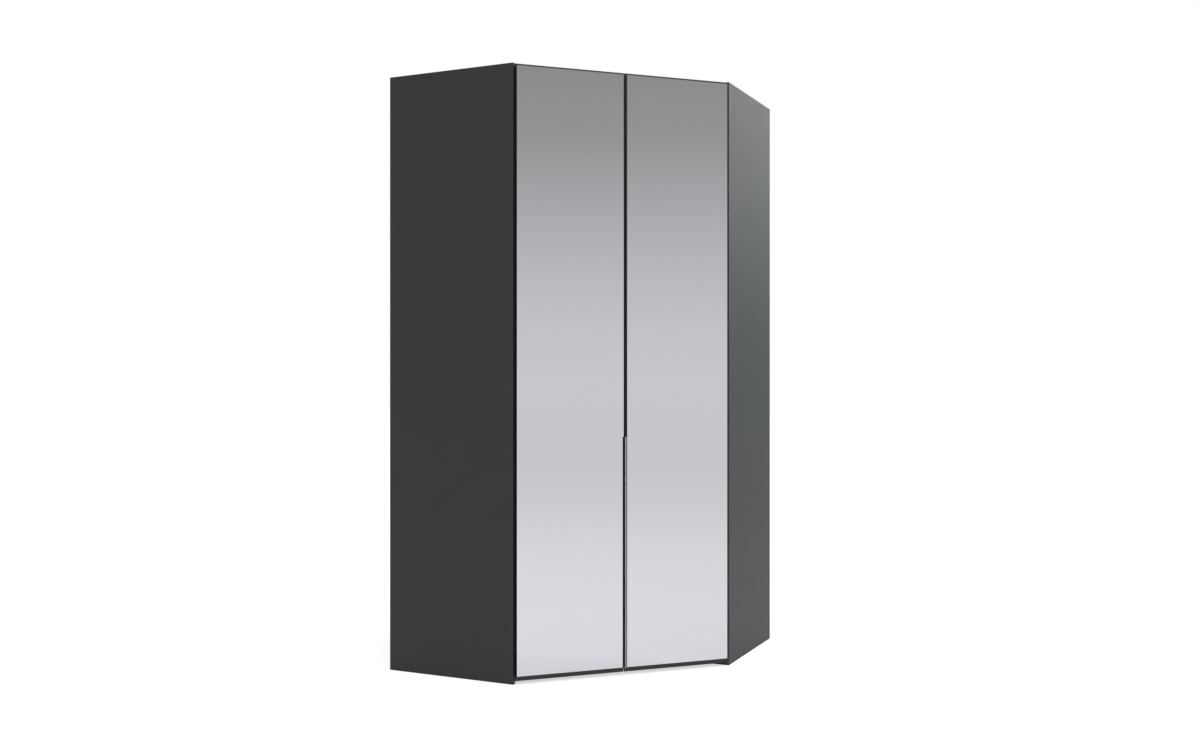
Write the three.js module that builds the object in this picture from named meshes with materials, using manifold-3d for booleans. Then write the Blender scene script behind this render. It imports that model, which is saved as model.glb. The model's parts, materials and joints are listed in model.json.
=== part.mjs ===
// Corner wardrobe with a diagonal front and two tall mirror doors, in millimetres, +Z up.
// The origin lies on the floor under the middle of the square footprint. The room corner is at +X +Y,
// and the front runs diagonally across the -X -Y corner. Doors are drawn in front coordinates:
// u runs along the front, v from the front towards the room corner.

import * as THREE from 'three';
import { mergeVertices } from 'three/addons/utils/BufferGeometryUtils.js';
import Module from 'manifold-3d';

const wasm = await Module();
wasm.setup();

// Overall size
const wallLength = 1200; // room corner to the outer face of a side panel
const sideDepth = 560; // wall to the front edge of a side panel
const overallHeight = 2360;
const boardThickness = 16;
const edgeRounding = 1;

// Fits shared by many pieces
const seatGap = 0.3; // between pieces that rest on each other
const overrun = 5; // how far a cutter runs past what it cuts
const curveSteps = 3;

// Boards
const floorGap = 10; // floor to the underside of the bottom boards
const bottomSlit = 4.5; // see-through slit between the two bottom boards
const boardJoint = 0.4; // tight joint between two halves of a board
const hatSpace = 380; // top of the wardrobe down to the top of the hat shelf
const shelfSetBack = 30;

// Thin backs, set in rebates of the side panels
const backThickness = 3;
const backRecess = 1; // leaves room for the nail heads
const rebateLand = 8;
const backMargin = 2; // bare edge of the boards above and below a back

// Post in the room corner and the battens under the joints
const postWidth = 120;
const battenWidth = 70;
const battenSetBack = 50;
const battenEndGap = 0.5;

// Glides under the left bottom board; the base rail carries the right one
const glideRadius = 14;
const glideSoleRadius = 11;
const glideSides = 16;
const glideOffset = 60; // from the slit
const glideFrontInset = 80;
const glideRearInset = 120;

// Doors
const doorTopReveal = 11; // top of the wardrobe down to the top of the doors
const doorBottomReveal = 5.5; // top of the bottom boards up to the bottom of the doors
const doorClearance = 1.4; // behind the door, to the boards' front edges
const doorSideInset = 0.25; // outer door edge to the inner corner of the side panel
const doorGap = 5;
const mirrorThickness = 4;
const mirrorInset = 4.3; // bare rim of the door board along the meeting edge

// Grip strip on the meeting edge of the right door
const gripLength = 901.5; // bottom of the doors to the top of the strip
const gripDrop = 4; // how far the strip hangs below the door
const gripProud = 3;
const gripLeg = 1.1;
const gripMirrorGap = 0.5;
const gripRounding = 0.8;
const gripChamfer = 6;
const gripGrooveWidth = 4;
const gripGrooveDepth = 1.4;
const gripGrooveInset = 1.6;
const tongueInset = 2.9; // board face to the tongue
const tongueThickness = 1.5;
const tongueLength = 8;
const barbHeight = 0.3;
const barbCount = 3;
const fingerStep = 4.2; // how far the left door is cut back beside the grip

// Hinges
const hingeCount = 5;
const hingeEndInset = 100; // door end to the nearest hinge
const cupEdge = 5; // outer door edge to the cup
const cupBoreRadius = 17.5;
const cupDepth = 11.3;
const cupWall = 0.8;
const cupFillet = 2;
const cupRim = 1.1; // how far the round rim covers the board
const cupSides = 20;
const wingThickness = 1;
const wingLength = 59;
const wingWidth = 16;
const wingOffset = 9.5; // cup centre to the line of the cup screws
const wingRounding = 4;
const cupScrewSpacing = 45;
const cupScrewHole = 1.9;
const cupPinRadius = 1.3;
const cupPinInset = 1.9; // cup wall to the pin centre
const cupPinHeight = 5.4; // cup floor to the pin centre
const smallSides = 8;

// Hinge arm, measured from the inner front corner of the side panel: along it and away from it
const armWidth = 17;
const armSteel = 1.2;
const armLength = 70;
const armSkirt = 5; // panel face to the lower edge of the arm
const armRearRise = 3;
const armShoulder = 12;
const armHump = { along: -4, away: 17 };
const armCrown = { along: -14, away: 21 };
const noseTop = { along: -26, away: 20.5 };
const noseTip = { along: -31, away: 17 };
const noseFootAway = 11.9;
const noseGap = 0.4; // nose to the floor of the cup
const throat = { along: -20, away: 9.2 };
const armRounding = 2;
const rivetRadius = 2.2;
const rivetProud = 0.6;
const rearRivet = { along: -13, away: 16.5 };
const frontRivet = { along: -23.5, away: 15.5 };
const slotAlong = 56;
const slotLength = 11;
const slotWidth = 5;
const adjusterAlong = 34;
const adjusterHole = 2.2;

// Mounting plate of a hinge
const plateAlong = 37; // panel front edge to the screw line
const plateThickness = 2.5;
const plateHeight = 52;
const plateWidth = 17;
const plateRounding = 5;
const plateRailStart = 18;
const plateRailEnd = 66;
const plateRailTop = 9.4;
const plateRailBevel = 3;
const plateScrewSpacing = 32;
const plateScrewHole = 2.8;

// Oval clothes rails
const railFromBack = 296;
const railDrop = 68; // shelf underside to the rail centre
const railEnd = 62; // where a rail ends, from the wardrobe's middle
const railHeight = 30;
const railWidth = 15;
const railWall = 1.2;
const collarWall = 2;
const collarLength = 9;
const socketBase = 3;
const socketMargin = 8;
const hangerPlate = 2.5;
const hangerFootLength = 46;
const hangerFootWidth = 26;
const hangerStrapTop = 20;

// Wall anchors inside, under the top boards
const anchorAlong = -150;
const anchorLeg = 40;
const anchorSteel = 2;
const anchorWidth = 22;
const anchorHole = 2.75;

// Lines worked out from the sizes above
const half = wallLength / 2;
const diagonal = Math.SQRT1_2;
const sideInner = boardThickness - half; // inner face of a side panel
const frontEdge = half - sideDepth; // front edge of a side panel
const frontCentre = (frontEdge - half) / 2; // x and y of the middle of the front
const backOuter = half - backRecess;
const backInner = backOuter - backThickness;
const postInner = backInner - boardThickness;
const boardFront = boardThickness * diagonal; // v of the boards' front edges
const openingHalf = (wallLength - sideDepth) * diagonal - boardFront;
const bottomTop = floorGap + boardThickness;
const topUnderside = overallHeight - boardThickness;
const shelfTop = overallHeight - hatSpace;
const shelfUnderside = shelfTop - boardThickness;
const doorBottom = bottomTop + doorBottomReveal;
const doorTop = overallHeight - doorTopReveal;
const gripTop = doorBottom + gripLength;
const doorBack = boardFront - doorClearance;
const doorFace = doorBack - boardThickness;
const mirrorBack = doorFace - seatGap;
const mirrorFace = mirrorBack - mirrorThickness;
const doorOuter = openingHalf - doorSideInset;
const doorMeeting = doorGap / 2;
const mirrorMeeting = doorMeeting + mirrorInset;
const cupCentreU = cupEdge + cupBoreRadius - doorOuter;
const railTube = backInner - railFromBack;
const railCentreZ = shelfUnderside - railDrop;

const colours = { graphite: 0x3a3b3c, hardboard: 0x9c8468, steel: 0xb9bcc0, zinc: 0xa5a8ab,
  mirror: 0xd9dce0, aluminium: 0x8f9194, plastic: 0x1e1f20 };
const finish = (color, roughness, metalness) =>
  new THREE.MeshStandardMaterial({ color, roughness, metalness });
const graphite = finish(colours.graphite, 0.6, 0);
const hardboard = finish(colours.hardboard, 0.8, 0);
const steel = finish(colours.steel, 0.3, 1);
const zinc = finish(colours.zinc, 0.45, 1);
const mirrorGlass = finish(colours.mirror, 0.02, 1);
const aluminium = finish(colours.aluminium, 0.35, 1);
const plastic = finish(colours.plastic, 0.5, 0);

const wardrobe = new THREE.Group();
const carcass = new THREE.Group();
const front = new THREE.Group();
front.position.set(frontCentre, frontCentre, 0);
front.rotation.z = -Math.PI / 4;
wardrobe.add(carcass, front);

function place(group, name, material, geometry) {
  const mesh = new THREE.Mesh(geometry, material);
  mesh.name = name;
  group.add(mesh);
}

// A bare geometry has only merged positions, which is what a boolean needs
function bare(geometry) {
  const copy = geometry.clone();
  copy.deleteAttribute('normal');
  copy.deleteAttribute('uv');
  return mergeVertices(copy);
}

function solid(geometry) {
  const { attributes, index } = bare(geometry);
  return new wasm.Manifold(new wasm.Mesh({
    numProp: 3,
    vertProperties: attributes.position.array,
    triVerts: Uint32Array.from(index.array),
  }));
}

function geometryOf(body) {
  const { vertProperties, triVerts } = body.getMesh();
  const geometry = new THREE.BufferGeometry();
  geometry.setAttribute('position', new THREE.BufferAttribute(vertProperties, 3));
  geometry.setIndex(new THREE.BufferAttribute(triVerts, 1));
  return geometry;
}

const cut = (geometry, cutters) =>
  geometryOf(cutters.map(solid).reduce((body, cutter) => body.subtract(cutter), solid(geometry)));
const join = (pieces) => geometryOf(pieces.map(solid).reduce((body, piece) => body.add(piece)));
const trim = (geometry, limit) => geometryOf(solid(geometry).intersect(solid(limit)));

// The right half of the wardrobe mirrors the left half across the diagonal of the plan
const acrossDiagonal = new THREE.Matrix4().set(0, 1, 0, 0, 1, 0, 0, 0, 0, 0, 1, 0, 0, 0, 0, 1);
const acrossFront = new THREE.Matrix4().makeScale(-1, 1, 1);

function mirrored(geometry, reflection) {
  const copy = bare(geometry).applyMatrix4(reflection);
  const faces = Array.from(copy.index.array);
  for (let i = 0; i < faces.length; i += 3) [faces[i], faces[i + 1]] = [faces[i + 1], faces[i]];
  copy.setIndex(faces);
  return copy;
}

function pair(group, name, material, geometry, reflection) {
  place(group, name, material, geometry);
  place(group, name.replace('left', 'right'), material, mirrored(geometry, reflection));
}

// An outline through corners [x, y]; a third value rounds the corner over that length of its sides
function outline(corners) {
  const shape = new THREE.Shape();
  corners.forEach(([x, y, rounding = 0], i) => {
    const corner = new THREE.Vector2(x, y);
    const towards = ([nextX, nextY]) =>
      new THREE.Vector2(nextX, nextY).sub(corner).setLength(rounding).add(corner);
    const before = towards(corners.at(i - 1));
    const after = towards(corners[(i + 1) % corners.length]);
    if (i === 0) shape.moveTo(before.x, before.y);
    else shape.lineTo(before.x, before.y);
    if (rounding > 0) shape.quadraticCurveTo(x, y, after.x, after.y);
  });
  return shape;
}

const rectangle = (left, low, right, high, rounding = 0) =>
  outline([[left, low, rounding], [right, low, rounding], [right, high, rounding], [left, high, rounding]]);

// Straight sides with a half circle at both ends, upright or lying
function stadium(centreX, centreY, width, height) {
  const radius = Math.min(width, height) / 2;
  const start = width > height ? -Math.PI / 2 : 0;
  const [reachX, reachY] = [width / 2 - radius, height / 2 - radius];
  const shape = new THREE.Shape();
  shape.absarc(centreX + reachX, centreY + reachY, radius, start, start + Math.PI);
  shape.absarc(centreX - reachX, centreY - reachY, radius, start + Math.PI, start + 2 * Math.PI);
  return shape;
}

const axisX = new THREE.Vector3(1, 0, 0);
const axisY = new THREE.Vector3(0, 1, 0);
const axisZ = new THREE.Vector3(0, 0, 1);
const drawnOnSide = new THREE.Matrix4().makeBasis(axisY, axisZ, axisX);
const drawnOnFront = new THREE.Matrix4().makeBasis(axisX, axisZ, axisY.clone().negate());

const extrude = (shape, depth) =>
  new THREE.ExtrudeGeometry(shape, { depth, bevelEnabled: false, curveSegments: curveSteps });
const upright = (shape, low, high) => extrude(shape, high - low).translate(0, 0, low);
const alongX = (shape, from, to) =>
  extrude(shape, to - from).applyMatrix4(drawnOnSide).translate(from, 0, 0);
const alongY = (shape, from, to) =>
  extrude(shape, to - from).applyMatrix4(drawnOnFront).translate(0, to, 0);

// A turned piece: pairs of radius and height, set at a point with its axis along a direction
function turned(profile, sides, origin, direction) {
  const points = profile.map(([radius, height]) => new THREE.Vector2(radius, height));
  const turn = new THREE.Quaternion().setFromUnitVectors(axisY, direction);
  const geometry = new THREE.LatheGeometry(points, sides).applyQuaternion(turn);
  return geometry.translate(origin.x, origin.y, origin.z);
}

const rod = (radius, length, sides, origin, direction) =>
  turned([[0, 0], [radius, 0], [radius, length], [0, length]], sides, origin, direction);

// A point of the front line as x and y of the plan
const plan = (u, v) => [frontCentre + (u + v) * diagonal, frontCentre + (v - u) * diagonal];

// Carcass boards, drawn for the left half: front edge, joint with the other half, then the rear corners
function halfBoard(setBack, gap, rearCorners) {
  const frontV = boardFront + setBack;
  const leftY = 2 * (frontCentre + frontV * diagonal) - sideInner;
  const [jointX, jointY] = rearCorners[0];
  return outline([[sideInner, leftY], plan(-gap / 2, frontV), [jointX - gap * diagonal, jointY],
    ...rearCorners.slice(1), [sideInner, backInner]]);
}

const squareRear = [[backInner, backInner]];
const notchedRear = [[postInner, postInner], [backInner - postWidth, postInner],
  [backInner - postWidth, backInner]];
const onCarcass = (name, material, geometry) => pair(carcass, name, material, geometry, acrossDiagonal);

const panelSection = outline([[-half, frontEdge, edgeRounding], [sideInner, frontEdge, edgeRounding],
  [sideInner, backInner], [rebateLand - half, backInner], [rebateLand - half, half], [-half, half]]);
onCarcass('left_side_panel', graphite, upright(panelSection, 0, overallHeight));
onCarcass('left_bottom_board', graphite, upright(halfBoard(0, bottomSlit, squareRear), floorGap, bottomTop));
onCarcass('left_top_board', graphite,
  upright(halfBoard(0, boardJoint, squareRear), topUnderside, overallHeight));
onCarcass('left_hat_shelf', graphite,
  upright(halfBoard(shelfSetBack, boardJoint, notchedRear), shelfUnderside, shelfTop));

// The left back runs on into the room corner and the right one stops against it, as the post boards do
const backLow = floorGap + backMargin;
const backHigh = overallHeight - backMargin;
place(carcass, 'left_back_panel', hardboard,
  upright(rectangle(rebateLand - half, backInner, backOuter, backOuter), backLow, backHigh));
place(carcass, 'right_back_panel', hardboard,
  upright(rectangle(backInner, rebateLand - half, backOuter, backInner), backLow, backHigh));
place(carcass, 'left_corner_post', graphite,
  upright(rectangle(backInner - postWidth, postInner, backInner, backInner), bottomTop, topUnderside));
place(carcass, 'right_corner_post', graphite,
  upright(rectangle(postInner, backInner - postWidth, backInner, postInner), bottomTop, topUnderside));

// Battens under the joints of the halves, with a pointed end that fits the post
function jointBatten(setBack) {
  const start = boardFront + setBack;
  const tip = (postInner - frontCentre) / diagonal - battenEndGap;
  const side = battenWidth / 2;
  return outline([plan(-side, start), plan(side, start), plan(side, tip - side), plan(0, tip),
    plan(-side, tip - side)]);
}

place(carcass, 'top_joint_batten', graphite,
  upright(jointBatten(battenSetBack), topUnderside - boardThickness, topUnderside));
place(carcass, 'shelf_joint_batten', graphite,
  upright(jointBatten(shelfSetBack + battenSetBack), shelfUnderside - boardThickness, shelfUnderside));

// The base rail runs straight back from the front edge of the right side panel
place(carcass, 'base_rail', graphite,
  upright(rectangle(frontEdge, sideInner, frontEdge + boardThickness, backInner), 0, floorGap));

function glide(along) {
  const [x, y] = plan(-glideOffset, along);
  const profile = [[0, 0], [glideSoleRadius, 0], [glideRadius, floorGap / 2], [glideRadius, floorGap],
    [0, floorGap]];
  return turned(profile, glideSides, new THREE.Vector3(x, y, 0), axisZ);
}

const rearTip = (backInner - frontCentre) / diagonal;
place(carcass, 'front_floor_glide', plastic, glide(boardFront + glideFrontInset));
place(carcass, 'rear_floor_glide', plastic, glide(rearTip - glideRearInset));

// Clothes rails: an oval tube from a socket on the side panel to a hanger under the hat shelf
function oval(growth) {
  return stadium(railTube, railCentreZ, railWidth + 2 * growth, railHeight + 2 * growth);
}

function ovalRing(outerGrowth, innerGrowth) {
  const ring = oval(outerGrowth);
  ring.holes.push(oval(innerGrowth));
  return ring;
}

const collarGrowth = seatGap + collarWall;
const collar = ovalRing(collarGrowth, seatGap);
const socketFace = sideInner + socketBase;
onCarcass('left_clothes_rail', steel,
  alongX(ovalRing(0, -railWall), socketFace + seatGap, railEnd - seatGap));
onCarcass('left_rail_socket', zinc, join([alongX(oval(socketMargin), sideInner, socketFace),
  alongX(collar, socketFace - socketBase / 2, socketFace + collarLength)]));

function railHanger() {
  const strapHalf = railWidth / 2 + collarGrowth;
  const footUnderside = shelfUnderside - hangerPlate;
  const strap = outline([[railTube - strapHalf, railCentreZ], [railTube + strapHalf, railCentreZ],
    [railTube + hangerStrapTop / 2, footUnderside + hangerPlate / 2],
    [railTube - hangerStrapTop / 2, footUnderside + hangerPlate / 2]]);
  const foot = rectangle(railEnd - hangerFootWidth / 2, railTube - hangerFootLength / 2,
    railEnd + hangerFootWidth / 2, railTube + hangerFootLength / 2, hangerPlate);
  return join([
    alongX(strap, railEnd, railEnd + hangerPlate),
    alongX(oval(collarGrowth), railEnd, railEnd + hangerPlate),
    alongX(collar, railEnd - collarLength, railEnd + hangerPlate / 2),
    upright(foot, footUnderside, shelfUnderside),
  ]);
}

onCarcass('left_rail_hanger', zinc, railHanger());

function wallAnchor() {
  const bend = backInner - anchorSteel;
  const legUnderside = topUnderside - anchorSteel;
  const middle = anchorAlong + anchorWidth / 2;
  const section = outline([[backInner - anchorLeg, legUnderside], [bend, legUnderside],
    [bend, topUnderside - anchorLeg], [backInner, topUnderside - anchorLeg], [backInner, topUnderside],
    [backInner - anchorLeg, topUnderside]]);
  const hole = (y, z, direction) =>
    rod(anchorHole, anchorSteel + 2 * overrun, smallSides, new THREE.Vector3(middle, y, z), direction);
  return cut(alongX(section, anchorAlong, anchorAlong + anchorWidth), [
    hole(backInner - anchorLeg / 2, legUnderside - overrun, axisZ),
    hole(bend - overrun, topUnderside - anchorLeg / 2, axisY),
  ]);
}

onCarcass('left_wall_anchor', zinc, wallAnchor());

// Hinge arm: a pressed channel that straddles the rail of its plate and dips into the cup
const fromCorner = ([along, away, rounding]) => [sideInner + away, frontEdge + along, rounding];
const bent = ({ along, away }) => [along, away, armRounding];
const pressed = ({ along, away }) => [along, away - armSteel, armRounding];
const armWeb = plateRailTop + seatGap; // inner face of the arm's web
const armBack = armWeb + armSteel;
const cupFloor = doorBack - cupDepth + cupWall;
const noseFootAlong = (cupFloor + noseGap - boardFront) / diagonal - noseFootAway;

function armBody(z) {
  const side = armWidth / 2;
  const outside = [[armLength, armSkirt], [armLength, armBack - armRearRise],
    [armLength - armRearRise, armBack], [armShoulder, armBack, armRounding], bent(armHump), bent(armCrown),
    bent(noseTop), bent(noseTip), [noseFootAlong, noseFootAway], bent(throat),
    [armHump.along, throat.away, armRounding], [-armHump.along, armSkirt]];
  const inside = [[armLength + overrun, -overrun], [armLength + overrun, armWeb],
    [armShoulder, armWeb, armRounding], pressed(armHump), pressed(armCrown),
    [noseTop.along + armSteel, noseTop.away - armSteel], [noseTop.along + armSteel, -overrun]];
  const hollow = upright(outline(inside.map(fromCorner)), z - side + armSteel, z + side - armSteel);
  return cut(upright(outline(outside.map(fromCorner)), z - side, z + side), [hollow]);
}

function hingeArm(z) {
  const webLow = sideInner + armWeb - overrun;
  const webReach = armSteel + 2 * overrun;
  const slot = alongX(stadium(frontEdge + slotAlong, z, slotLength, slotWidth), webLow, webLow + webReach);
  const adjuster = new THREE.Vector3(webLow, frontEdge + adjusterAlong, z);
  const rivetLow = z - armWidth / 2 - rivetProud;
  const rivets = [rearRivet, frontRivet].map(({ along, away }) =>
    rod(rivetRadius, armWidth + 2 * rivetProud, smallSides,
      new THREE.Vector3(sideInner + away, frontEdge + along, rivetLow), axisZ));
  const holes = [slot, rod(adjusterHole, webReach, smallSides, adjuster, axisX)];
  return join([cut(armBody(z), holes), ...rivets]);
}

function hingePlate(z) {
  const screwLine = frontEdge + plateAlong;
  const railSide = armWidth / 2 - armSteel - seatGap;
  const base = rectangle(screwLine - plateWidth / 2, z - plateHeight / 2, screwLine + plateWidth / 2,
    z + plateHeight / 2, plateRounding);
  const rail = [[plateRailStart, 0], [plateRailStart, plateRailTop - plateRailBevel],
    [plateRailStart + plateRailBevel, plateRailTop], [plateRailEnd - plateRailBevel, plateRailTop],
    [plateRailEnd, plateRailTop - plateRailBevel], [plateRailEnd, 0]];
  const holes = [-1, 1].map((side) => rod(plateScrewHole, plateThickness + 2 * overrun, smallSides,
    new THREE.Vector3(sideInner - overrun, screwLine, z + side * plateScrewSpacing / 2), axisX));
  return cut(join([alongX(base, sideInner, sideInner + plateThickness),
    upright(outline(rail.map(fromCorner)), z - railSide, z + railSide)]), holes);
}

// Hinge cup in front coordinates: a bowl with a round rim, two screw wings and the pin of the links
function hingeCup(z) {
  const outer = cupBoreRadius - seatGap;
  const inner = outer - cupWall;
  const wingLow = doorBack + seatGap;
  const centre = new THREE.Vector3(cupCentreU, doorBack, z);
  const bowl = turned([[0, -cupDepth], [outer - cupFillet, -cupDepth], [outer, cupFillet - cupDepth],
    [outer, seatGap], [cupBoreRadius + cupRim, seatGap], [cupBoreRadius + cupRim, seatGap + wingThickness],
    [inner, seatGap + wingThickness], [inner, cupFillet - cupDepth],
    [inner + cupWall - cupFillet, cupWall - cupDepth], [0, cupWall - cupDepth]], cupSides, centre, axisY);
  const lineU = cupCentreU + wingOffset;
  const wings = alongY(rectangle(lineU - wingWidth / 2, z - wingLength / 2, lineU + wingWidth / 2,
    z + wingLength / 2, wingRounding), wingLow, wingLow + wingThickness);
  const mouth = rod(inner, wingThickness + 2 * overrun, cupSides, centre, axisY);
  const holes = [-1, 1].map((side) => rod(cupScrewHole, wingThickness + 2 * overrun, smallSides,
    new THREE.Vector3(lineU, doorBack, z + side * cupScrewSpacing / 2), axisY));
  const floor = doorBack - cupDepth;
  const pin = rod(cupPinRadius, 2 * outer, smallSides,
    new THREE.Vector3(cupCentreU + inner - cupPinInset, floor + cupPinHeight, z - outer), axisZ);
  const reach = rod(inner + cupWall / 2, cupDepth, cupSides, centre.clone().setY(floor), axisY);
  return join([bowl, cut(wings, [mouth, ...holes]), trim(pin, reach)]);
}

const hingeStep = (doorTop - doorBottom - 2 * hingeEndInset) / (hingeCount - 1);
const lowestHinge = doorBottom + hingeEndInset;
const hingeHeights = Array.from({ length: hingeCount }, (_, i) => lowestHinge + i * hingeStep);
hingeHeights.forEach((z, i) => {
  onCarcass(`left_hinge_arm_${i + 1}`, zinc, hingeArm(z));
  onCarcass(`left_hinge_plate_${i + 1}`, zinc, hingePlate(z));
  pair(front, `left_hinge_cup_${i + 1}`, zinc, hingeCup(z), acrossFront);
});

// Doors: a board with its mirror glued on; the left one is cut back beside the grip
const cupBores = hingeHeights.map((z) => rod(cupBoreRadius, cupDepth + seatGap + overrun, cupSides,
  new THREE.Vector3(cupCentreU, doorBack - cupDepth - seatGap, z), axisY));
const leftLeaf = (meeting) => outline([[-doorOuter, doorBottom], [-meeting - fingerStep, doorBottom],
  [-meeting - fingerStep, gripTop], [-meeting, gripTop], [-meeting, doorTop], [-doorOuter, doorTop]]);
const rightLeaf = (meeting) => rectangle(meeting, doorBottom, doorOuter, doorTop);

const tongueFace = doorFace + tongueInset;
const tongueBack = tongueFace + tongueThickness;
const kerfEnd = doorMeeting + tongueLength + seatGap;
const kerf = upright(rectangle(doorMeeting - overrun, tongueFace - seatGap, kerfEnd, tongueBack + seatGap),
  doorBottom - overrun, gripTop + seatGap);

place(front, 'left_door_board', graphite, cut(alongY(leftLeaf(doorMeeting), doorFace, doorBack), cupBores));
place(front, 'left_door_mirror', mirrorGlass, alongY(leftLeaf(mirrorMeeting), mirrorFace, mirrorBack));
place(front, 'right_door_board', graphite, cut(alongY(rightLeaf(doorMeeting), doorFace, doorBack),
  [kerf, ...cupBores.map((bore) => mirrored(bore, acrossFront))]));
place(front, 'right_door_mirror', mirrorGlass, alongY(rightLeaf(mirrorMeeting), mirrorFace, mirrorBack));

// Grip strip: a hollow-sided bead in front of the door, a leg on its edge and a barbed tongue in its kerf
function gripStrip() {
  const bottom = doorBottom - gripDrop;
  const beadFront = mirrorFace - gripProud;
  const beadBack = doorFace - seatGap;
  const legU = doorMeeting - seatGap;
  const sideU = legU - gripLeg;
  const grooveFront = beadFront + gripGrooveInset;
  const tongueStart = legU + seatGap;
  const barbPitch = tongueLength / barbCount;
  const barbs = Array.from({ length: barbCount }, (_, i) => tongueStart + i * barbPitch);
  const faceBarbs = barbs.flatMap((u) => [[u, tongueFace], [u + barbPitch, tongueFace + barbHeight]]);
  const backBarbs = barbs.flatMap((u) => [[u, tongueBack], [u + barbPitch, tongueBack - barbHeight]]);
  const section = outline([[sideU, beadFront, gripRounding],
    [mirrorMeeting - gripMirrorGap, beadFront, gripRounding], [mirrorMeeting - gripMirrorGap, beadBack],
    [legU, beadBack], [legU, tongueFace], ...faceBarbs, ...backBarbs.reverse(), [sideU, tongueBack],
    [sideU, grooveFront + gripGrooveWidth],
    [sideU + gripGrooveDepth, grooveFront + gripGrooveWidth / 2, gripGrooveWidth / 2],
    [sideU, grooveFront]]);
  const chamfer = outline([[beadFront - overrun, bottom - overrun],
    [beadFront + gripChamfer + overrun, bottom - overrun],
    [beadFront - overrun, bottom + gripChamfer + overrun]]);
  return cut(upright(section, bottom, gripTop), [alongX(chamfer, -wallLength, wallLength)]);
}

place(front, 'right_door_grip', aluminium, gripStrip());

export default wardrobe;
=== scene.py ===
# Corner wardrobe with a diagonal front and two tall mirror doors. Metres, +Z up.
# The frame's solids give every place and size; this script gives them their finishes, softened
# edges and small fittings, then sets up the floor, the light and the camera.

import json
import math

import bmesh
import bpy
from mathutils import Matrix, Vector


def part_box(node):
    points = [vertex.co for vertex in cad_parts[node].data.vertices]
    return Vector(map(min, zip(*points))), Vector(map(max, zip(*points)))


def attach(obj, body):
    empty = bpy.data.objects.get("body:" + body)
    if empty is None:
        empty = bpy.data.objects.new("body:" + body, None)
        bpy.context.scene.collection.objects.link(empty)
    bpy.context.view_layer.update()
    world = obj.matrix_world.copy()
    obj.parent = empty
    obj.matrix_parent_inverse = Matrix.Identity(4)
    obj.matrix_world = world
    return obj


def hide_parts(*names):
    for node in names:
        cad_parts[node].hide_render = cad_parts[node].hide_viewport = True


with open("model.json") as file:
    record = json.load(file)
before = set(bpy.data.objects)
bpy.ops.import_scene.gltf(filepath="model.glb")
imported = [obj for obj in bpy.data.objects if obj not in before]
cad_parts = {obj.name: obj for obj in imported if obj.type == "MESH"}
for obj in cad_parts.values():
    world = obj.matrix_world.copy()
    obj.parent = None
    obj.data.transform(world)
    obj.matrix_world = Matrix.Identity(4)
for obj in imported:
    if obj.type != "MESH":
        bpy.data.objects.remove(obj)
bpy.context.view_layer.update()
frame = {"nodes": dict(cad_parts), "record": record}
nodes = frame["nodes"]
print("frame loaded:", len(nodes), "nodes")


def hexColour(text):
    values = [int(text[i:i + 2], 16) / 255 for i in (1, 3, 5)]
    linear = [v / 12.92 if v <= 0.04045 else ((v + 0.055) / 1.055) ** 2.4 for v in values]
    return (*linear, 1)


def addNode(tree, kind, inputs=None, **settings):
    node = tree.nodes.new(kind)
    for name, value in settings.items():
        setattr(node, name, value)
    for socket, value in (inputs or {}).items():
        if isinstance(value, bpy.types.NodeSocket):
            tree.links.new(value, node.inputs[socket])
        else:
            node.inputs[socket].default_value = value
    return node


def newMaterial(name, **values):
    material = bpy.data.materials.new(name)
    material.use_nodes = True
    tree = material.node_tree
    shader = tree.nodes["Principled BSDF"]
    for socket, value in values.items():
        shader.inputs[socket.replace("_", " ")].default_value = value
    return material, tree, shader


def perMetre(millimetres):
    return 1000 / millimetres


def grain(tree, size, detail=2, stretch=(1, 1, 1), roughness=0.5):
    # Noise whose lumps are about size millimetres across, longer where stretch is above 1
    place = addNode(tree, "ShaderNodeTexCoord").outputs["Object"]
    scaled = addNode(tree, "ShaderNodeMapping",
                     {"Vector": place, "Scale": [1 / s for s in stretch]})
    return addNode(tree, "ShaderNodeTexNoise",
                   {"Vector": scaled.outputs[0], "Scale": perMetre(size), "Detail": detail,
                    "Roughness": roughness}).outputs["Fac"]


def spread(tree, value, low, high, fromLow=0.3, fromHigh=0.7):
    return addNode(tree, "ShaderNodeMapRange",
                   {"Value": value, "From Min": fromLow, "From Max": fromHigh,
                    "To Min": low, "To Max": high}).outputs[0]


def blendColour(tree, factor, first, second):
    # Inputs 6 and 7 and output 2 are a Mix node's colours
    return addNode(tree, "ShaderNodeMix", {0: factor, 6: first, 7: second},
                   data_type="RGBA").outputs[2]


def tint(tree, shader, factor, values):
    colour = blendColour(tree, factor, hexColour(values["dark"]), hexColour(values["light"]))
    tree.links.new(colour, shader.inputs["Base Color"])


def roughen(tree, shader, pattern, roughness):
    tree.links.new(spread(tree, pattern, *roughness), shader.inputs["Roughness"])


def bump(tree, shader, height, depth, strength=1.0):
    node = addNode(tree, "ShaderNodeBump", {"Height": height, "Distance": depth, "Strength": strength})
    tree.links.new(node.outputs[0], shader.inputs["Normal"])


# Materials, each named for the real finish

def melamine(name, values):
    # Melamine paper pressed on chipboard: a dense, even colour with a fine pearl, so the gloss is
    # broken up and only a soft sheen is left at low angles
    material, tree, shader = newMaterial(name, IOR=values["ior"])
    mottle = grain(tree, values["mottleSize"], detail=3)
    tint(tree, shader, spread(tree, mottle, 0, 1), values)
    roughen(tree, shader, grain(tree, values["sheenSize"], detail=3), values["roughness"])
    pearl = grain(tree, values["pearlSize"], detail=1)
    bump(tree, shader, pearl, values["pearlDepth"], strength=0.5)
    return material


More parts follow.
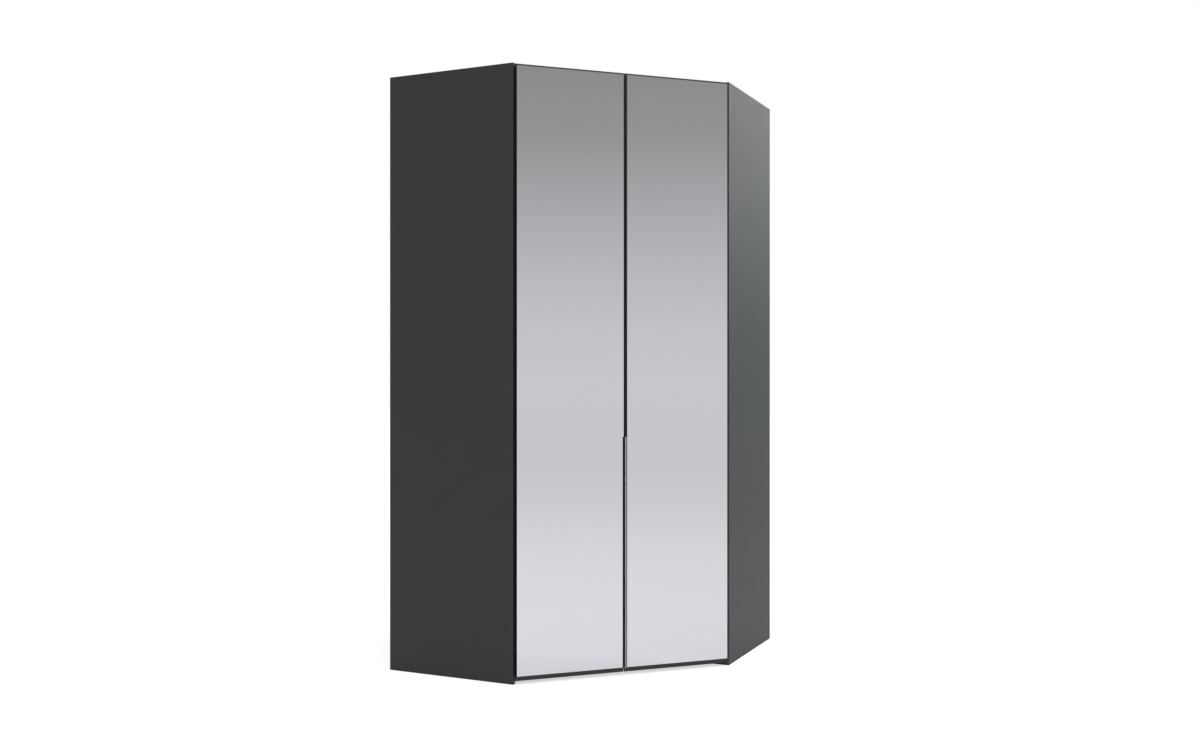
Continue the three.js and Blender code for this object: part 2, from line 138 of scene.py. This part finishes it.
melamineValues = {
    "side": {"dark": "#2E3030", "light": "#2F3131", "mottleSize": 160, "sheenSize": 90,
             "roughness": (0.455, 0.47), "pearlSize": 1.4, "pearlDepth": 0.00005, "ior": 1.38},
    "board": {"dark": "#2D2F2F", "light": "#313332", "mottleSize": 140, "sheenSize": 70,
              "roughness": (0.46, 0.54), "pearlSize": 1.4, "pearlDepth": 0.00005, "ior": 1.38},
}
sideMelamine = melamine("graphite melamine, pearl", melamineValues["side"])
boardMelamine = melamine("graphite melamine, matt", melamineValues["board"])


def edgeBand(name, values):
    # ABS edge band: extruded plastic, smoother than the boards' faces, with faint lines along its
    # length from the scraper
    material, tree, shader = newMaterial(name, IOR=1.5)
    lines = grain(tree, values["lineWidth"], stretch=(1, 1, values["lineLength"]))
    tint(tree, shader, spread(tree, lines, 0, 1), values)
    roughen(tree, shader, lines, values["roughness"])
    bump(tree, shader, lines, values["lineDepth"], strength=0.4)
    return material


bandValues = {
    "graphite": {"dark": "#2B2D2D", "light": "#323434", "lineWidth": 1.2, "lineLength": 60,
                 "lineDepth": 0.00003, "roughness": (0.36, 0.44)},
    "white": {"dark": "#F0F0EE", "light": "#F8F8F7", "lineWidth": 1.2, "lineLength": 60,
              "lineDepth": 0.00003, "roughness": (0.4, 0.5)},
}
absBand = edgeBand("graphite ABS edge band", bandValues["graphite"])
# White on the two faces of the slit between the bottom boards: painted light, standing for the bright
# backdrop seen through the slit, so it reads as a bright line
slitPaintedLight = edgeBand("white slit faces, painted see-through light", bandValues["white"])


def rawChipboard(values):
    # Sawn chipboard: pressed flakes of pale wood, darker glue pockets and an open, rough cut
    material, tree, shader = newMaterial("raw chipboard edge", IOR=1.5, Roughness=values["roughness"])
    place = addNode(tree, "ShaderNodeTexCoord").outputs["Object"]
    flakes = addNode(tree, "ShaderNodeTexVoronoi", {"Vector": place, "Scale": perMetre(values["flake"])})
    tone = addNode(tree, "ShaderNodeSeparateColor", {0: flakes.outputs["Color"]}).outputs[0]
    wood = blendColour(tree, tone, hexColour(values["pale"]), hexColour(values["warm"]))
    pores = spread(tree, grain(tree, values["pore"], detail=4), 0, 1, *values["poreShare"])
    tree.links.new(blendColour(tree, pores, hexColour(values["pocket"]), wood),
                   shader.inputs["Base Color"])
    bump(tree, shader, pores, values["poreDepth"])
    return material


chipValues = {"flake": 2.2, "pale": "#E3D3B4", "warm": "#CDB48E", "pocket": "#9A8261", "pore": 1.6,
              "poreShare": (0.3, 0.42), "poreDepth": 0.0003, "roughness": 0.85}
chipboard = rawChipboard(chipValues)


def hardboardBack(values):
    # Thin hardboard: a brown sheet of matted fibres with a slightly polished pressed face
    material, tree, shader = newMaterial("brown hardboard", IOR=1.5)
    fibres = grain(tree, values["fibre"], detail=5, stretch=(1, 1, values["fibreLength"]),
                   roughness=0.65)
    clouds = spread(tree, grain(tree, values["cloud"]), *values["cloudTone"])
    tone = addNode(tree, "ShaderNodeMath", {0: spread(tree, fibres, *values["fibreTone"]), 1: clouds},
                   operation="ADD", use_clamp=True).outputs[0]
    tint(tree, shader, tone, values)
    roughen(tree, shader, fibres, values["roughness"])
    bump(tree, shader, fibres, values["depth"], strength=0.6)
    return material


hardboardValues = {"fibre": 3.5, "fibreLength": 3, "fibreTone": (0, 0.7), "cloud": 120,
                   "cloudTone": (0.12, 0.3), "dark": "#5B4330", "light": "#8D6C4C",
                   "roughness": (0.5, 0.68), "depth": 0.0001}
hardboard = hardboardBack(hardboardValues)


def silveredMirror(values):
    # Float glass silvered on its back: nearly all the light comes back, a touch cool, with the
    # faint roller wave of the float line
    material, tree, shader = newMaterial("silvered float glass", Metallic=1,
                                         Base_Color=hexColour(values["tint"]))
    roughen(tree, shader, grain(tree, values["hazeSize"], detail=3), values["roughness"])
    wave = grain(tree, values["waveSize"], detail=0, stretch=(1, 1, values["waveLength"]))
    bump(tree, shader, wave, values["waveDepth"], strength=0.2)
    return material


mirrorValues = {"tint": "#DCDBE1", "roughness": (0.0, 0.012), "hazeSize": 220, "waveSize": 400,
                "waveLength": 3, "waveDepth": 0.00002}
mirror = silveredMirror(mirrorValues)


def groundGlass(values):
    # Ground edge of the glass: grey green, since the light crosses the thick of the pane
    material, tree, shader = newMaterial("ground glass edge", IOR=1.52)
    grit = grain(tree, values["grit"])
    tint(tree, shader, spread(tree, grit, 0, 1), values)
    roughen(tree, shader, grit, values["roughness"])
    bump(tree, shader, grit, values["gritDepth"], strength=0.5)
    return material


edgeValues = {"grit": 1.2, "gritDepth": 0.00003, "dark": "#2A3432", "light": "#3C4A47",
              "roughness": (0.3, 0.5)}
glassEdge = groundGlass(edgeValues)


def anodised(name, values):
    # Anodised aluminium: extrusion lines along the strip under a clear, soft oxide
    material, tree, shader = newMaterial(name, Metallic=values["metallic"])
    lines = grain(tree, values["lineWidth"], detail=3, stretch=(1, 1, values["lineLength"]))
    tint(tree, shader, spread(tree, lines, 0, 1), values)
    roughen(tree, shader, lines, values["roughness"])
    bump(tree, shader, lines, values["lineDepth"], strength=0.5)
    return material


gripValues = {
    "front": {"dark": "#6A6C6F", "light": "#77797C", "lineWidth": 0.7, "lineLength": 200,
              "lineDepth": 0.00002, "roughness": (0.3, 0.4), "metallic": 1},
    "side": {"dark": "#E6E7E8", "light": "#F1F2F2", "lineWidth": 0.7, "lineLength": 200,
             "lineDepth": 0.00002, "roughness": (0.35, 0.45), "metallic": 0.1},
}
gripAluminium = anodised("satin anodised aluminium", gripValues["front"])
# The side that faces the left door is a lighter, less metallic copy of the same aluminium: painted light,
# standing for the light that falls on that side
gripPaintedLitSide = anodised("anodised aluminium, painted lit side", gripValues["side"])


def platedMetal(name, values):
    # Plated metal: the tint is the plating's, and slow changes in roughness are the polish
    material, tree, shader = newMaterial(name, Metallic=1)
    polish = grain(tree, values["polishSize"], detail=3)
    tint(tree, shader, spread(tree, polish, 0, 1), values)
    roughen(tree, shader, polish, values["roughness"])
    bump(tree, shader, grain(tree, values["skinSize"], detail=1), values["skinDepth"], strength=0.4)
    return material


platedValues = {
    "nickel": {"dark": "#CBC8C2", "light": "#D6D4CF", "polishSize": 35, "roughness": (0.28, 0.34),
               "skinSize": 3, "skinDepth": 0.000004},
    "chrome": {"dark": "#C6C9CC", "light": "#D4D7DA", "polishSize": 60, "roughness": (0.05, 0.1),
               "skinSize": 30, "skinDepth": 0.00001},
    "zinc": {"dark": "#A9ACAF", "light": "#B8BBBE", "polishSize": 14, "roughness": (0.36, 0.46),
             "skinSize": 1.6, "skinDepth": 0.00001},
}
nickel = platedMetal("nickel-plated pressed steel", platedValues["nickel"])
chrome = platedMetal("chromed steel tube", platedValues["chrome"])
zinc = platedMetal("zinc-plated die casting", platedValues["zinc"])


def mouldedPlastic(values):
    # Moulded polyethylene: waxy black with the fine spark texture of its mould
    material, tree, shader = newMaterial("moulded black polyethylene", IOR=1.51)
    spark = grain(tree, values["spark"], detail=1)
    tint(tree, shader, spread(tree, spark, 0, 1), values)
    roughen(tree, shader, spark, values["roughness"])
    bump(tree, shader, spark, values["sparkDepth"], strength=0.5)
    return material


plasticValues = {"spark": 0.8, "sparkDepth": 0.00003, "dark": "#161717", "light": "#1E1F1F",
                 "roughness": (0.42, 0.55)}
blackPlastic = mouldedPlastic(plasticValues)
print("materials made")


# Softened copies of the frame's solids, each face in the finish the real piece has there

slotOf = {part["node"]: part["material_slot"] for part in frame["record"]["subparts"]}
bodyOf = {name: body for body, names in frame["record"]["behaviour"]["bodies"].items()
          for name in names}
panelLow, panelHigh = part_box("left_side_panel")
# Front coordinates start at the middle of the diagonal front: +x to its right, +y into the wardrobe
frontMiddle = (panelLow.x + panelLow.y) / 2
frontFrame = (Matrix.Translation((frontMiddle, frontMiddle, 0))
              @ Matrix.Rotation(math.radians(-45), 4, "Z"))
frontFrameBack = frontFrame.inverted()
meshValues = {"mergeGap": 0.00001, "flatAngle": 0.5, "sharpAngle": 50, "bevelSegments": 2,
              "metalSmoothing": 40, "fittingSmoothing": 35}


def finishMesh(bm, name, materials, body, smoothAngle=None):
    mesh = bpy.data.meshes.new(name)
    bm.to_mesh(mesh)
    bm.free()
    for material in materials:
        mesh.materials.append(material)
    if smoothAngle is not None:
        mesh.shade_smooth()
        mesh.set_sharp_from_angle(angle=math.radians(smoothAngle))
    piece = bpy.data.objects.new(name, mesh)
    bpy.context.scene.collection.objects.link(piece)
    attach(piece, body)
    return piece


def mergedCopy(name):
    bm = bmesh.new()
    bm.from_mesh(nodes[name].data)
    bmesh.ops.remove_doubles(bm, verts=bm.verts, dist=meshValues["mergeGap"])
    bmesh.ops.dissolve_limit(bm, angle_limit=math.radians(meshValues["flatAngle"]), verts=bm.verts,
                             edges=bm.edges)
    return bm


def softenEdges(bm, width, shortest):
    sharpest = math.radians(meshValues["sharpAngle"])
    sharp = [edge for edge in bm.edges if len(edge.link_faces) == 2
             and edge.calc_face_angle() > sharpest and edge.calc_length() > shortest]
    bmesh.ops.bevel(bm, geom=sharp, offset=width, offset_type="OFFSET",
                    segments=meshValues["bevelSegments"], profile=0.5, affect="EDGES", material=-1,
                    clamp_overlap=True)
    bmesh.ops.recalc_face_normals(bm, faces=bm.faces)


# Each rule takes a face's middle and direction, for the left half, and picks its finish. A direction
# is compared by its share along an axis: all of it, nearly all, half or a little
full, square, slanted, leaning = 0.99, 0.9, 0.5, 0.3
ruleValues = {"rearLine": 0.5955, "slitReach": 0.01, "onLine": 0.0004, "besideLine": 0.002}


def sidePanelFinish(middle, normal):
    if middle.y > ruleValues["rearLine"] and normal.x > -slanted:
        return "raw"
    return "face" if abs(normal.x) > square else "band"


def levelBoardFinish(middle, normal):
    if abs(normal.z) > square:
        return "face"
    towardsFront = -(normal.x + normal.y) * math.sqrt(0.5)
    return "band" if towardsFront > slanted or abs(normal.z) > leaning else "raw"


def bottomBoardFinish(middle, normal):
    alongFront = abs(normal.x - normal.y) * math.sqrt(0.5)
    # Faces at the slit take the white that stands in for the light seen through it: painted light
    atSlit = abs(middle.x - middle.y) < ruleValues["slitReach"]
    return "slit" if alongFront > slanted and atSlit else levelBoardFinish(middle, normal)


def battenFinish(middle, normal):
    if abs(normal.z) > square:
        return "face"
    towardsCorner = (normal.x + normal.y) * math.sqrt(0.5)
    return "raw" if towardsCorner > leaning else "band"


def uprightFinish(middle, normal):
    if abs(normal.z) > square:
        return "raw"
    return "face" if abs(normal.y) > square else "band"


def railFinish(middle, normal):
    return "face" if abs(normal.x) > square else "band"


# In front coordinates: depths of a door board's two faces, and its banded edges across the front
doorValues = {"faceLevels": (-0.0061, 0.0099), "bandLines": (0.44098, 0.0025, 0.0067)}


def isNear(value, lines, gap):
    return min(abs(value - line) for line in lines) < gap


def doorBoardFinish(middle, normal):
    if abs(normal.y) > square:
        return "face" if isNear(middle.y, doorValues["faceLevels"], ruleValues["onLine"]) else "raw"
    if abs(normal.x) > square:
        gap = ruleValues["onLine"]
    elif abs(normal.z) > leaning:
        return "band"
    else:
        gap = ruleValues["besideLine"]
    return "band" if isNear(abs(middle.x), doorValues["bandLines"], gap) else "raw"


def mirrorFinish(middle, normal):
    return "face" if abs(normal.y) > full else "band"


swapHalves = Matrix(((0, 1, 0, 0), (1, 0, 0, 0), (0, 0, 1, 0), (0, 0, 0, 1)))
inPlace = Matrix.Identity(4)


def dressBoard(name, rule, view, face, softening, shortest=0.0):
    bm = mergedCopy(name)
    softenEdges(bm, softening, shortest)
    order = ["face", "band", "raw", "slit"]
    turn = view.to_3x3()
    for part in bm.faces:
        part.material_index = order.index(rule(view @ part.calc_center_median(), turn @ part.normal))
    band = glassEdge if slotOf[name] == "mirror" else absBand
    piece = finishMesh(bm, name + "_finished", [face, band, chipboard, slitPaintedLight], bodyOf[name])
    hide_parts(name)


softenValues = {"board": 0.0007, "door": 0.0006, "doorShortest": 0.015, "mirror": 0.0007}
boardRules = {"side_panel": sidePanelFinish, "bottom_board": bottomBoardFinish,
              "top_board": levelBoardFinish, "hat_shelf": levelBoardFinish,
              "corner_post": uprightFinish}
for side, view in (("left", inPlace), ("right", swapHalves)):
    for kind, rule in boardRules.items():
        face = sideMelamine if kind == "side_panel" else boardMelamine
        dressBoard(f"{side}_{kind}", rule, view, face, softenValues["board"])
for name in ("top_joint_batten", "shelf_joint_batten"):
    dressBoard(name, battenFinish, inPlace, boardMelamine, softenValues["board"])
dressBoard("base_rail", railFinish, inPlace, boardMelamine, softenValues["board"])
for side in ("left", "right"):
    dressBoard(f"{side}_door_board", doorBoardFinish, frontFrameBack, boardMelamine,
               softenValues["door"], softenValues["doorShortest"])
    dressBoard(f"{side}_door_mirror", mirrorFinish, frontFrameBack, mirror, softenValues["mirror"])
print("boards and mirrors softened")

# Backs: foil-faced towards the inside of the wardrobe, bare hardboard towards the wall
for side, outward in (("left", Vector((0, 1, 0))), ("right", Vector((1, 0, 0)))):
    name = f"{side}_back_panel"
    bm = mergedCopy(name)
    for part in bm.faces:
        part.material_index = 0 if part.normal.dot(outward) < -square else 1
    piece = finishMesh(bm, name + "_finished", [boardMelamine, hardboard], bodyOf[name])
    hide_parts(name)

# Metal and plastic pieces keep their shape and are shaded smooth round their curves
metalFinish = {"hinge_arm": nickel, "hinge_plate": nickel, "hinge_cup": nickel, "rail_socket": zinc,
               "rail_hanger": zinc, "wall_anchor": zinc, "clothes_rail": chrome,
               "floor_glide": blackPlastic}
for name in nodes:
    for kind, material in metalFinish.items():
        if kind in name:
            piece = finishMesh(mergedCopy(name), name + "_finished", [material], bodyOf[name],
                               meshValues["metalSmoothing"])
            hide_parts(name)

# Grip strip: the side that faces the left door takes the lighter copy of the aluminium, painted light for
# its lit side
grip = mergedCopy("right_door_grip")
for part in grip.faces:
    part.material_index = 1 if (frontFrameBack.to_3x3() @ part.normal).x < -leaning else 0
piece = finishMesh(grip, "right_door_grip_finished", [gripAluminium, gripPaintedLitSide], "right_door",
                   meshValues["metalSmoothing"])
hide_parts("right_door_grip")
print("metal pieces smoothed")


# Small fittings

def facing(point, direction):
    turn = Vector(direction).to_track_quat("Z", "Y").to_matrix().to_4x4()
    return Matrix.Translation(point) @ turn


def otherHalf(place):
    point, direction = place
    return (point[1], point[0], point[2]), (direction[1], direction[0], direction[2])


def onDoor(side, place):
    # A place given in front coordinates on the left door; the right door mirrors it
    point, direction = [Vector(part) for part in place]
    if side == "right":
        point.x, direction.x = -point.x, -direction.x
    return frontFrame @ point, frontFrame.to_3x3() @ direction


def growRing(bm, edges, scale, rise):
    grown = bmesh.ops.extrude_edge_only(bm, edges=edges)["geom"]
    verts = [part for part in grown if isinstance(part, bmesh.types.BMVert)]
    bmesh.ops.scale(bm, vec=(scale, scale, 1), verts=verts)
    bmesh.ops.translate(bm, vec=(0, 0, rise), verts=verts)
    return [part for part in grown if isinstance(part, bmesh.types.BMEdge)
            and all(vert in verts for vert in part.verts)]


# Shares of a screw head's radius (recess, arms, shoulder, taper) and of its height (drops, sunk)
headValues = {"sides": 16, "recess": 0.2, "arms": 0.62, "shoulder": 0.84, "taper": 0.8,
              "drops": (0.1, 0.35, 0.55), "sunk": 0.6}


def crossHead(radius, height, values=headValues):
    # Head of a screw with a cross recess, seated at the origin and pointing along +Z
    armReach, shoulder, drops = values["arms"], values["shoulder"], values["drops"]
    bm = bmesh.new()
    bmesh.ops.create_circle(bm, cap_ends=True, segments=values["sides"],
                            radius=radius * values["recess"])
    bmesh.ops.translate(bm, vec=(0, 0, height), verts=bm.verts)
    centre = bm.faces[:][0]
    edges = growRing(bm, list(bm.edges), armReach / values["recess"], 0)
    bm.faces.ensure_lookup_table()
    arms = sorted((part for part in bm.faces if part is not centre),
                  key=lambda part: math.atan2(*part.calc_center_median().yx))[::values["sides"] // 4]
    edges = growRing(bm, edges, shoulder / armReach, -height * drops[0])
    edges = growRing(bm, edges, 1 / shoulder, -height * drops[1])
    edges = growRing(bm, edges, 1, -height * drops[2])
    bmesh.ops.edgeloop_fill(bm, edges=edges)
    sunk = bmesh.ops.extrude_face_region(bm, geom=[centre, *arms])["geom"]
    verts = [part for part in sunk if isinstance(part, bmesh.types.BMVert)]
    bmesh.ops.translate(bm, vec=(0, 0, -height * values["sunk"]), verts=verts)
    bmesh.ops.scale(bm, vec=(values["taper"], values["taper"], 1), verts=verts)
    old = [part for part in (centre, *arms) if part.is_valid]
    bmesh.ops.delete(bm, geom=old, context="FACES_ONLY")
    bmesh.ops.recalc_face_normals(bm, faces=bm.faces)
    return bm


def roundCap(profile, segments):
    # A turned cap from pairs of radius and height, closed at both ends
    bm = bmesh.new()
    verts = [bm.verts.new((radius, 0, height)) for radius, height in profile]
    edges = [bm.edges.new(pair) for pair in zip(verts, verts[1:])]
    bmesh.ops.spin(bm, geom=[*verts, *edges], cent=(0, 0, 0), axis=(0, 0, 1),
                   angle=math.radians(360), steps=segments, use_merge=True)
    bmesh.ops.remove_doubles(bm, verts=bm.verts, dist=meshValues["mergeGap"] / 10)
    bmesh.ops.recalc_face_normals(bm, faces=bm.faces)
    return bm


def setOut(template, places, name, material, body):
    source = bpy.data.meshes.new(name + "_template")
    template.to_mesh(source)
    template.free()
    bm = bmesh.new()
    for point, direction in places:
        before = set(bm.verts)
        bm.from_mesh(source)
        added = [vert for vert in bm.verts if vert not in before]
        bmesh.ops.transform(bm, matrix=facing(point, direction), verts=added)
    bpy.data.meshes.remove(source)
    return finishMesh(bm, name, [material], body, meshValues["fittingSmoothing"])


plateBoxes = [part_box(f"left_hinge_plate_{i}") for i in range(1, 6)]
hingeHeights = [(low.z + high.z) / 2 for low, high in plateBoxes]
# Faces are heights over the side panel, lines are places on it; the cup's are in front coordinates
hingeValues = {"plateFace": 0.0025, "plateScrewLine": 0.077, "plateScrewReach": 0.016,
               "plateHead": (0.0041, 0.0019), "cupLine": -0.40898, "cupScrewReach": 0.0225,
               "cupFace": 0.01121, "cupHead": (0.0034, 0.0013), "armFace": 0.0109, "armSlot": 0.096,
               "armHead": (0.0042, 0.0016), "adjuster": 0.074, "adjusterHead": (0.0021, 0.0006),
               "adjusterSink": 0.0007}


def hingeScrews(values):
    plateFace, armFace = panelHigh.x + values["plateFace"], panelHigh.x + values["armFace"]
    plate = [((plateFace, values["plateScrewLine"], z + step), (1, 0, 0)) for z in hingeHeights
             for step in (-values["plateScrewReach"], values["plateScrewReach"])]
    slotScrew = [((armFace, values["armSlot"], z), (1, 0, 0)) for z in hingeHeights]
    adjuster = [((armFace - values["adjusterSink"], values["adjuster"], z), (1, 0, 0))
                for z in hingeHeights]
    cup = [((values["cupLine"], values["cupFace"], z + step), (0, 1, 0)) for z in hingeHeights
           for step in (-values["cupScrewReach"], values["cupScrewReach"])]
    for side in ("left", "right"):
        for kind, places, head in (("plate", plate, "plateHead"), ("arm", slotScrew, "armHead"),
                                   ("adjuster", adjuster, "adjusterHead")):
            if side == "right":
                places = [otherHalf(place) for place in places]
            setOut(crossHead(*values[head]), places, f"{side}_hinge_{kind}_screws", nickel,
                   "carcass")
        setOut(crossHead(*values["cupHead"]), [onDoor(side, place) for place in cup],
               f"{side}_hinge_cup_screws", nickel, f"{side}_door")


hingeScrews(hingeValues)

# Insets are from the back panel's edges
nailValues = {"head": ((0, 0.0006), (0.0014, 0.0006), (0.0025, 0.00035), (0.0027, 0), (0, 0)),
              "sides": 10, "pitch": 0.13, "sideInset": 0.004, "cornerInset": 0.011,
              "endInsets": (0.018, 0.028), "acrossInsets": (0.052, 0.059)}


def nailLine(start, end, pitch):
    count = round((end - start) / pitch) + 1
    return [start + (end - start) * i / (count - 1) for i in range(count)]


def backNails(values):
    low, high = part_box("left_back_panel")
    heights = nailLine(low.z + values["endInsets"][0], high.z - values["endInsets"][1], values["pitch"])
    across = nailLine(low.x + values["acrossInsets"][0], high.x - values["acrossInsets"][1],
                      values["pitch"])
    boards = [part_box(name) for name in ("left_bottom_board", "left_hat_shelf", "left_top_board")]
    levels = [(under.z + over.z) / 2 for under, over in boards]
    places = [((x, high.y, z), (0, 1, 0)) for z in heights
              for x in (low.x + values["sideInset"], high.x - values["cornerInset"])]
    places += [((x, high.y, z), (0, 1, 0)) for x in across for z in levels]
    for side in ("left", "right"):
        if side == "right":
            places = [otherHalf(place) for place in places]
        setOut(roundCap(values["head"], values["sides"]), places, f"{side}_back_nails", zinc,
               "carcass")


backNails(nailValues)

# Depths are from the side panel's front edge; each outline is in pairs of radius and height
fittingValues = {"depths": (0.078, 0.278, 0.478), "camInset": 0.034, "camSides": 24,
                 "cam": ((0, 0.0009), (0.0072, 0.0009), (0.0079, 0.0004), (0.008, 0), (0, 0)),
                 "pin": ((0, 0.0095), (0.0018, 0.0095), (0.0025, 0.0088), (0.0025, 0.0016),
                         (0.0042, 0.0014), (0.0045, 0.0008), (0.0045, 0), (0, 0)),
                 "pinSides": 16, "pinDrop": 0.0027, "postInset": 0.054}


def boardFittings(values):
    depths = [panelLow.y + depth for depth in values["depths"]]
    camLine = panelHigh.x + values["camInset"]
    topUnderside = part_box("left_top_board")[0].z
    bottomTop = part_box("left_bottom_board")[1].z
    cams = [((camLine, y, topUnderside), (0, 0, -1)) for y in depths]
    cams += [((camLine, y, bottomTop), (0, 0, 1)) for y in depths]
    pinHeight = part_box("left_hat_shelf")[0].z - values["pinDrop"]
    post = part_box("left_corner_post")[0]
    pins = [((panelHigh.x, y, pinHeight), (1, 0, 0)) for y in depths[::2]]
    pins += [((post.x + values["postInset"], post.y, pinHeight), (0, -1, 0))]
    for side in ("left", "right"):
        if side == "right":
            cams = [otherHalf(place) for place in cams]
            pins = [otherHalf(place) for place in pins]
        setOut(roundCap(values["cam"], values["camSides"]), cams, f"{side}_cam_covers", blackPlastic,
               "carcass")
        setOut(roundCap(values["pin"], values["pinSides"]), pins, f"{side}_shelf_pins", nickel,
               "carcass")


boardFittings(fittingValues)

# Start, end and offset are in front coordinates
battenValues = {"start": 0.12, "end": 1.02, "count": 4, "offset": 0.02, "head": (0.0036, 0.0007)}


def battenScrews(values):
    places = []
    for batten in ("top_joint_batten", "shelf_joint_batten"):
        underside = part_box(batten)[0].z
        for i in range(values["count"]):
            depth = values["start"] + (values["end"] - values["start"]) * i / (values["count"] - 1)
            for side in (-1, 1):
                point = frontFrame @ Vector((side * values["offset"], depth, underside))
                places.append((point, (0, 0, -1)))
    setOut(crossHead(*values["head"]), places, "batten_screws", zinc, "carcass")


battenScrews(battenValues)

# The anchor is an angle of sheet with a hole in each leg, at the same reach from its corner
anchorValues = {"sheet": 0.002, "holeReach": 0.02, "head": (0.0046, 0.0026)}


def anchorScrews(values):
    low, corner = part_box("left_wall_anchor")
    middle = (low.x + corner.x) / 2
    places = [((middle, corner.y - values["holeReach"], corner.z - values["sheet"]), (0, 0, -1)),
              ((middle, corner.y - values["sheet"], corner.z - values["holeReach"]), (0, -1, 0))]
    for side in ("left", "right"):
        if side == "right":
            places = [otherHalf(place) for place in places]
        setOut(crossHead(*values["head"]), places, f"{side}_anchor_screws", zinc, "carcass")


anchorScrews(anchorValues)
print("fittings placed")


# Floor, light and camera

# Room tones run from the horizon (0) to straight up (1): height, level, level of blue
stageValues = {"floorSize": 60, "floorColour": "#C8C8C8", "floorLift": 0.6, "floorGlow": 0.3,
               "lightLevel": 0.85, "farTint": (0.48, 0.62, 0.68, 1), "farRange": (0.2, 0.8),
               "roomTones": ((0, 0.8, 0.81), (0.045, 0.74, 0.75), (0.094, 0.65, 0.66),
                             (0.143, 0.53, 0.53), (0.19, 0.42, 0.395), (0.25, 0.36, 0.337),
                             (0.55, 0.36, 0.337), (1, 0.8, 0.8))}


def pickRays(tree, *kinds):
    path = addNode(tree, "ShaderNodeLightPath")
    value = path.outputs[kinds[0]]
    for kind in kinds[1:]:
        value = addNode(tree, "ShaderNodeMath", {0: value, 1: path.outputs[kind]},
                        operation="MAXIMUM").outputs[0]
    return value


def buildFloor(values):
    bm = bmesh.new()
    bmesh.ops.create_grid(bm, x_segments=1, y_segments=1, size=values["floorSize"] / 2)
    mesh = bpy.data.meshes.new("floor")
    bm.to_mesh(mesh)
    bm.free()
    floor = bpy.data.objects.new("floor", mesh)
    bpy.context.scene.collection.objects.link(floor)
    material, tree, shader = newMaterial("plain pale floor", Roughness=1)
    shader.inputs["Specular IOR Level"].default_value = 0
    shader.inputs["Base Color"].default_value = hexColour(values["floorColour"])
    shader.inputs["Emission Color"].default_value = (1, 1, 1, 1)
    # The lift brings the lit floor up to the white backdrop and leaves the shadow in it
    mirrored = addNode(tree, "ShaderNodeMath", {0: pickRays(tree, "Is Glossy Ray", "Is Transmission Ray"),
                                                1: values["floorGlow"]}, operation="MULTIPLY")
    lift = addNode(tree, "ShaderNodeMath", {0: pickRays(tree, "Is Camera Ray"), 1: values["floorLift"],
                                            2: mirrored.outputs[0]}, operation="MULTIPLY_ADD")
    tree.links.new(lift.outputs[0], shader.inputs["Emission Strength"])
    mesh.materials.append(material)


def buildWorld(values):
    world = bpy.data.worlds.new("studio")
    world.use_nodes = True
    bpy.context.scene.world = world
    tree = world.node_tree
    background = tree.nodes["Background"]
    # What mirrors and metal see: a white room that turns grey towards its ceiling
    direction = addNode(tree, "ShaderNodeTexCoord").outputs["Generated"]
    height = addNode(tree, "ShaderNodeSeparateXYZ", {0: direction}).outputs["Z"]
    ramp = addNode(tree, "ShaderNodeValToRGB", {0: height})
    elements = ramp.color_ramp.elements
    while len(elements) < len(values["roomTones"]):
        elements.new(1)
    for element, (position, level, blue) in zip(elements, values["roomTones"]):
        element.position = position
        element.color = (level, level, blue, 1)
    # The far side of the room, which only the low sheen of the right side picks up, is cooler
    sideways = addNode(tree, "ShaderNodeSeparateXYZ", {0: direction}).outputs["X"]
    cooler = addNode(tree, "ShaderNodeMix", {0: 1, 6: ramp.outputs[0], 7: values["farTint"]},
                     data_type="RGBA", blend_type="MULTIPLY").outputs[2]
    room = blendColour(tree, spread(tree, sideways, 0, 1, *values["farRange"]), ramp.outputs[0], cooler)
    level = values["lightLevel"]
    lit = blendColour(tree, pickRays(tree, "Is Glossy Ray", "Is Transmission Ray"),
                      (level, level, level, 1), room)
    seen = blendColour(tree, pickRays(tree, "Is Camera Ray"), lit, (1, 1, 1, 1))
    tree.links.new(seen, background.inputs["Color"])


def buildLamp(name, values):
    place = Vector(values["place"])
    data = bpy.data.lights.new(name, "AREA")
    data.shape = "RECTANGLE"
    data.size, data.size_y = values["size"]
    data.energy = values["watts"]
    # A narrow spread fades the far softbox's sheen down the right side, as in the photograph
    data.spread = math.radians(values["spread"])
    lamp = bpy.data.objects.new(name, data)
    lamp.location = place
    lamp.rotation_euler = (Vector(values["target"]) - place).to_track_quat("-Z", "Y").to_euler()
    bpy.context.scene.collection.objects.link(lamp)


def buildCamera(values):
    data = bpy.data.cameras.new("camera")
    data.lens = values["lens"]
    data.sensor_width = values["sensor"]
    camera = bpy.data.objects.new("camera", data)
    camera.location = values["place"]
    camera.rotation_euler = (math.radians(90), 0, math.radians(values["turn"]))
    bpy.context.scene.collection.objects.link(camera)
    bpy.context.scene.camera = camera


buildFloor(stageValues)
buildWorld(stageValues)
lampValues = {
    "overhead softbox": {"place": (-1.5, -1.5, 5.5), "target": (0, 0, 1), "size": (4, 4), "watts": 120,
                         "spread": 180},
    "far side softbox": {"place": (4.6, -2.1, 2.6), "target": (0.3, -0.6, 0.75), "size": (2.6, 3.2),
                         "watts": 7.4, "spread": 42},
}
for lampName, lamp in lampValues.items():
    buildLamp(lampName, lamp)
cameraValues = {"place": (-4.6437, -2.2090, 1.1748), "turn": -65, "lens": 36.53, "sensor": 36}
buildCamera(cameraValues)
bpy.context.scene.view_settings.view_transform = "Standard"
print("floor, light and camera set")
